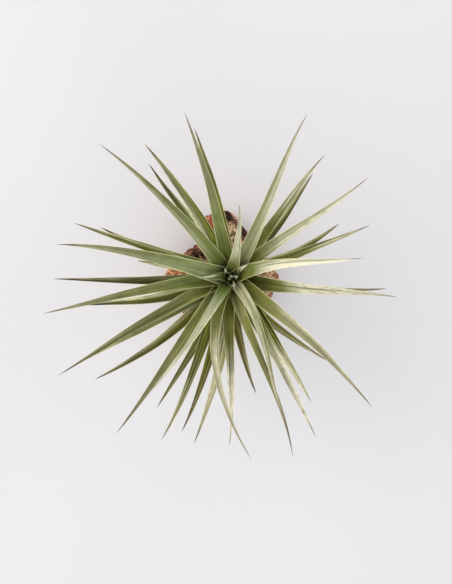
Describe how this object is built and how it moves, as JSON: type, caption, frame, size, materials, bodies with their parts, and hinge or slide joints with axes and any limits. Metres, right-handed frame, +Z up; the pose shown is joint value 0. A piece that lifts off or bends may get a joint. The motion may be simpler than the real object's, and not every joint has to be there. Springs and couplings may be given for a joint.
{
  "type": "tillandsia aeranthos",
  "caption": "Air plant with a full rosette of long channelled leaves, rooted on a lump of pitted red lava rock that stands on its flat underside.",
  "frame": {"origin": "middle of the rock's flat underside, on the surface that the part stands on", "axes": "+Z up along the stem; +X and +Y are the right and the top of the picture, which looks straight down"},
  "size_m": [0.1762, 0.1719, 0.1284],
  "materials": {
    "leaf": "matte",
    "dry_leaf": "matte",
    "root": "matte",
    "rock": "matte"
  },
  "bodies": {
    "root": {"leaf_rosette": "leaf", "dry_foot": "dry_leaf", "root_crown": "root", "lava_rock": "rock"}
  },
  "joints": []
}
